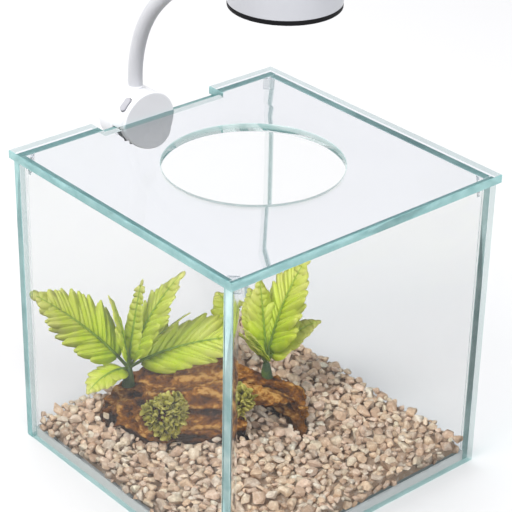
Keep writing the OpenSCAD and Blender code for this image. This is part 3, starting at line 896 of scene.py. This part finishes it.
def make_log():
    """The log as a solid of smooth rings, hollowed, then given its bark relief along the normals."""
    bark = log_material()
    steps, count = 60, 60
    turn = Matrix.Translation(LOG_PLACE) @ Matrix.Rotation(LOG_TURN, 4, "Z")
    rings = [[turn @ p for p in log_ring(-1 + 2 * i / steps, count)] for i in range(steps + 1)]
    verts = [p for ring in rings for p in ring]
    faces = [
        (i * count + k, i * count + (k + 1) % count, (i + 1) * count + (k + 1) % count, (i + 1) * count + k)
        for i in range(steps) for k in range(count)
    ]
    faces += [list(range(count)), list(range(steps * count, (steps + 1) * count))]
    obj = add_object("bark_log", verts, faces, bark)
    outward(obj)
    cut_cave(obj)
    remesh(obj, BARK_VOXEL)
    mesh = obj.data
    mesh.materials.clear()
    mesh.materials.append(bark)
    back = turn.inverted()
    moved, relief_and_foot_shade = [], []
    for v in mesh.vertices:
        height = bark_height(back @ v.co)
        moved.append(v.co + v.normal * height * MM)
        # Painted shade: the colour value falls below 17 mm up the frame, by its full 2.2 at 12 mm and under,
        # so the log's foot darkens where it meets the gravel.
        relief_and_foot_shade.append(height - 2.2 * min(1, max(0, (17 - v.co.z / MM) / 5)))
    mesh.vertices.foreach_set("co", [c for p in moved for c in p])
    # The 'height' value holds the bark relief together with the painted shade at the foot.
    layer = mesh.attributes.new("height", "FLOAT", "POINT")
    low, high = np.percentile(relief_and_foot_shade, (5, 96))
    layer.data.foreach_set("value", ((np.array(relief_and_foot_shade) - low) / (high - low)).clip(0, 1))
    mesh.shade_smooth()
    mesh.update()
    keep(obj, "tank", "resin_log", "driftwood_log")


# ---- Plants ----


def curved_leaf(length, width, curl, lean, steps=6):
    """Verts and faces of a pointed leaf along +X, creased along its middle, that droops by `curl` radians."""
    verts, faces = [], []
    for i in range(steps + 1):
        s = i / steps
        angle = lean - curl * s
        x, z = (math.sin(lean) - math.sin(angle)) / curl, (math.cos(angle) - math.cos(lean)) / curl
        half = width / 2 * math.sin(math.pi * (0.1 + 0.88 * s) ** 0.85) ** 0.6
        fold = 0.2 * half
        x, z = x * length, z * length
        verts += [(x, -half, z - fold), (x, 0, z), (x, half, z - fold)]
    for i in range(steps):
        a, b = 3 * i, 3 * i + 3
        faces += [(a, b, b + 1, a + 1), (a + 1, b + 1, b + 2, a + 2)]
    return np.array(verts), faces


def tube(points, radii, sides=6):
    """Verts and faces of an open tube along the points."""
    verts, faces = [], []
    for i, p in enumerate(points):
        ahead = (points[min(i + 1, len(points) - 1)] - points[max(i - 1, 0)]).normalized()
        side = ahead.orthogonal().normalized()
        over = ahead.cross(side)
        for k in range(sides):
            a = 2 * math.pi * k / sides
            verts.append(p + (side * math.cos(a) + over * math.sin(a)) * radii[i])
    for i in range(len(points) - 1):
        for k in range(sides):
            a, b = i * sides, (i + 1) * sides
            faces.append((a + k, a + (k + 1) % sides, b + (k + 1) % sides, b + k))
    return np.array(verts), faces


def leaf_half(s, width):
    """Half the frond's width at s from 0 to 1 along it, broad below and fine at the tip."""
    return width / 2 * (0.04 + 0.96 * math.sin(math.pi * (0.05 + 0.95 * s) ** 0.66))


def add_frond(blades, stems, rng, place, yaw, rise, droop, length, width, roll=0.0):
    """One frond on the CAD frond's own arc: a stem with pairs of overlapping, creased leaflets."""
    yaw, rise, droop, roll = (math.radians(v) for v in (yaw, rise, droop, roll))
    turn = Matrix.Rotation(yaw, 3, "Z")
    arc = length / droop

    def frame_at(s):
        a = rise - droop * s
        spot = Vector((arc * (math.sin(rise) - math.sin(a)), 0, arc * (math.cos(a) - math.cos(rise))))
        ahead = Vector((math.cos(a), 0, math.sin(a)))
        up = Vector((-math.sin(a), 0, math.cos(a)))
        side = Vector((0, 1, 0))
        across = side * math.cos(roll) + up * math.sin(roll)
        normal = up * math.cos(roll) - side * math.sin(roll)
        return place + turn @ (spot * MM), turn @ ahead, turn @ across, turn @ normal

    spots = [frame_at(i / 14)[0] for i in range(15)]
    stem = tube(spots, [(0.75 - 0.5 * i / 14) * MM for i in range(15)])
    stems.add(*stem, np.repeat(np.linspace(0.1, 0.9, 15), 6))
    pairs = max(5, round(length / 3.4))
    for i in range(pairs):
        s = 0.12 + 0.85 * (i + 0.5) / pairs
        for hand in (-1, 1):
            spot, ahead, across, normal = frame_at(s + rng.uniform(-0.006, 0.006))
            half = leaf_half(s, width)
            sweep = math.radians(52 - 24 * s + rng.uniform(-4, 4))
            reach = max(half / math.sin(sweep + 0.25), 2.2) * rng.uniform(0.93, 1.07)
            out = (ahead * math.cos(sweep) + across * hand * math.sin(sweep)).normalized()
            top = (normal + across * hand * rng.uniform(-0.30, 0.05)).normalized()
            top = (top - out * top.dot(out)).normalized()
            wide = top.cross(out)
            verts, faces = curved_leaf(1.0, 1.0, rng.uniform(0.25, 0.6), rng.uniform(0.05, 0.2))
            breadth = length / pairs * rng.uniform(1.75, 2.0) * (1 - 0.3 * s)
            verts = verts * np.array((reach, breadth, reach)) * MM
            axes = np.array((out, wide, top))
            tint = 0.22 + 0.55 * s + 0.25 * verts[:, 0] / (reach * MM) + rng.uniform(-0.08, 0.08)
            blades.add(verts @ axes + np.array(spot), faces, tint.clip(0, 1))
    spot, ahead, across, normal = frame_at(0.97)
    verts, faces = curved_leaf(1.0, 1.0, 0.3, 0.0)
    verts = verts * np.array((length * 0.09, width * 0.16, length * 0.09)) * MM
    blades.add(verts @ np.array((ahead, normal.cross(ahead), normal)) + np.array(spot), faces, 1.0)


# Each fern: where its crown is (mm), how deep its foot reaches (mm), and its fronds as yaw, rise and droop
# (degrees), length and width (mm), and roll (degrees).
FERNS = {
    "fern_left": ((-33, 48, 34), 9, [
        (149, 58, 24, 60, 32, -50), (188, 28, 60, 26, 17, -10), (120, 84, 15, 36, 16, 20),
        (20, 84, 10, 40, 9), (-10, 78, 30, 45, 24), (-20, 55, 22, 31, 15, -30), (-30, 34, 48, 45, 30, 32)
    ]),
    "fern_middle": ((8, 36, 33), 8, [
        (150, 70, 60, 23, 13), (20, 65, 60, 23, 15, 20), (10, 45, 80, 42, 13), (80, 60, 50, 26, 13)
    ]),
    "fern_right": ((23.5, 9, 31), 8, [
        (-5, 80, 28, 52, 28), (60, 82, 14, 38, 18, 20), (-25, 66, 50, 31, 15, 20), (175, 75, 25, 24, 11),
        (182, 62, 20, 33, 7), (60, 60, 40, 34, 17)
    ]),
}


FERN_SEED, MOSS_SEED = 40, 60
LEAF_THICKNESS, MOSS_THICKNESS = 0.3 * MM, 0.25 * MM


def make_ferns():
    """Each fern as one object of leaves and one of stems, which share its CAD node."""
    blade_paint = leaf_material("fern_blade", (0.40, 0.66, 0.03), (0.86, 0.97, 0.07), (0.99, 0.99, 0.36))
    stem_paint = leaf_material("fern_stem", (0.09, 0.17, 0.07), (0.42, 0.62, 0.06), (0.66, 0.80, 0.12))
    for seed, (node, (place, depth, fronds)) in enumerate(FERNS.items()):
        rng = random.Random(FERN_SEED + seed)
        blades, stems = Builder(), Builder()
        place = Vector(place) * MM
        for frond in fronds:
            add_frond(blades, stems, rng, place, *frond)
        foot = [place + Vector((0, 0, z)) * MM for z in (-depth, -depth * 0.5, 0, 1.6)]
        stems.add(*tube(foot, [2.9 * MM, 2.2 * MM, 1.5 * MM, 0.5 * MM], 14), np.zeros(56))
        leaves = blades.build(node + "_leaves", blade_paint, 40)
        modifier = leaves.modifiers.new("leaf_thickness", "SOLIDIFY")
        modifier.thickness = LEAF_THICKNESS
        modifier.offset = 0
        keep(leaves, "tank", "fern_plastic", node)
        keep(stems.build(node + "_stems", stem_paint, 40), "tank", "fern_plastic", node)


# Each tuft: its centre and its size (mm), and how many leaflets it has.
TUFTS = {
    "moss_tuft_left": ((-36, 16.5, 26), (19, 14, 22), 620),
    "moss_tuft_right": ((-6, -5, 31), (11, 10, 15), 220),
}


def make_moss():
    """Tufts of small curled leaflets that stand out all over a mound."""
    paint = leaf_material("moss_leaflet", (0.16, 0.16, 0.015), (0.62, 0.58, 0.07), (0.98, 0.93, 0.32))
    for seed, (node, (place, size, count)) in enumerate(TUFTS.items()):
        rng = random.Random(MOSS_SEED + seed)
        tuft = Builder()
        axes = Matrix.Rotation(LOG_TURN, 3, "Z") @ Matrix.Diagonal([0.5 * v * MM for v in size])
        for _ in range(count):
            away = Vector([rng.gauss(0, 1) for _ in range(3)]).normalized()
            bulge = 1 + 0.5 * noise.noise(away * 1.8 + Vector((seed * 5, 0, 0)))
            spot = Vector(place) * MM + axes @ (away * bulge * rng.uniform(0.62, 0.84))
            out = (axes @ away).normalized()
            stray = Vector([rng.uniform(-1.0, 1.0) for _ in range(3)])
            out = (out + stray + Vector((0, 0, 0.15))).normalized()
            side = out.orthogonal().normalized()
            side = Matrix.Rotation(rng.uniform(0, 2 * math.pi), 3, out) @ side
            reach = rng.uniform(2.0, 3.6)
            verts, faces = curved_leaf(1.0, 1.0, rng.uniform(0.8, 2.0), rng.uniform(0.2, 0.8), 5)
            verts = verts * np.array((reach, reach * rng.uniform(0.55, 0.85), reach)) * MM
            tint = rng.uniform(-0.15, 0.6) + 0.5 * verts[:, 0] / (reach * MM)
            tuft.add(verts @ np.array((out, side, out.cross(side))) + np.array(spot), faces, tint.clip(0, 1))
        obj = tuft.build(node + "_leaflets", paint, 50)
        modifier = obj.modifiers.new("leaf_thickness", "SOLIDIFY")
        modifier.thickness = MOSS_THICKNESS
        modifier.offset = 0
        keep(obj, "tank", "moss", node)


# ---- Lamp ----


def dress(node, material):
    """Gives a CAD node that keeps its shape a finished material."""
    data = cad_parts[node].data
    data.materials.clear()
    data.materials.append(material)


def make_lamp():
    """The lamp and the lid's corner blocks keep their CAD shapes."""
    white = plastic_material("gloss_white_plastic", (0.77, 0.775, 0.80), 0.25, coat=0.3)
    # Painted shade: the same white plastic as the clip, at half its brightness and slightly bluer, as the
    # shade on the lamp head, its bracket and the arm's eye.
    shaded_white = plastic_material("white_plastic_painted_shade", (0.375, 0.38, 0.405), 0.3, coat=0.15)
    # Painted shade: the soft sleeve's white is darkened to about two thirds of the clip's white, as the shade
    # on the arm.
    shaded_soft_white = plastic_material("soft_white_sleeve_painted_shade", (0.49, 0.495, 0.52), 0.42, grain=1200, strength=0.12)
    grey = plastic_material("grey_button_plastic", (0.36, 0.36, 0.39), 0.4)
    black = plastic_material("black_bezel_plastic", (0.004, 0.004, 0.005), 0.55, gloss=0.12)
    dark = plastic_material("matt_dark_plastic", (0.05, 0.05, 0.055), 0.5)
    rubber = plastic_material("grip_rubber", (0.03, 0.03, 0.032), 0.7, grain=1500, strength=0.3)
    clear = block_material()
    steel = metal_material("turned_steel", (0.62, 0.62, 0.64), 0.3, (1, 1, 12))
    aluminium = metal_material("rolled_aluminium", (0.78, 0.79, 0.80), 0.35, (1, 14, 1))
    board = plastic_material("white_solder_mask", (0.82, 0.84, 0.82), 0.3)
    phosphor = plastic_material("led_phosphor", (0.90, 0.74, 0.22), 0.3)
    finishes = {
        white: ("clip_housing", "clip_front_cap", "clip_rear_cover", "arm_pivot"),
        shaded_white: ("head_shell", "head_bracket", "arm_eye"),
        shaded_soft_white: ("arm_sleeve",),
        grey: ("switch_button",),
        black: ("bezel_ring",),
        dark: ("power_inlet", "switch_body", "arm_lead"),
        rubber: ("clip_inner_pad", "clip_outer_pad"),
        clear: ("lid_corner_blocks",),
        steel: ("cover_screws", "pivot_ring", "arm_core", "tilt_pin", "board_screws"),
        aluminium: ("heat_spreader",),
        board: ("led_board",),
        phosphor: ("led_chips",),
        diffuser_material(): ("diffuser",),
    }
    for material, nodes in finishes.items():
        for node in nodes:
            dress(node, material)


make_camera()
make_stage()
set_view()
float_edge = edge_material(
    "float_glass_edge", dark=(0.30, 0.52, 0.51), light=(0.58, 0.77, 0.75),
    clear_tint=(0.80, 0.93, 0.92), cover=0.5
)
lid_edge = edge_material(
    "lid_glass_edge", dark=(0.17, 0.35, 0.35), light=(0.30, 0.50, 0.49),
    clear_tint=(0.52, 0.76, 0.76), cover=0.62
)
# Painted light: the base pane's edges are an almost opaque near white, standing in for the bright floor seen
# through the glass there.
base_edge = edge_material(
    "base_glass_edge_painted_light", dark=(0.90, 0.93, 0.91), light=(0.97, 0.98, 0.96),
    clear_tint=(0.93, 0.97, 0.96), cover=0.95
)
hole_edge = hole_material()
make_tank(glass_material("float_glass", (0.922, 0.927, 0.927)), float_edge, lid_edge, base_edge)
make_lid(glass_material("lid_float_glass", (0.915, 0.925, 0.953)), lid_edge, hole_edge)
make_gravel()
make_log()
make_ferns()
make_moss()
make_lamp()
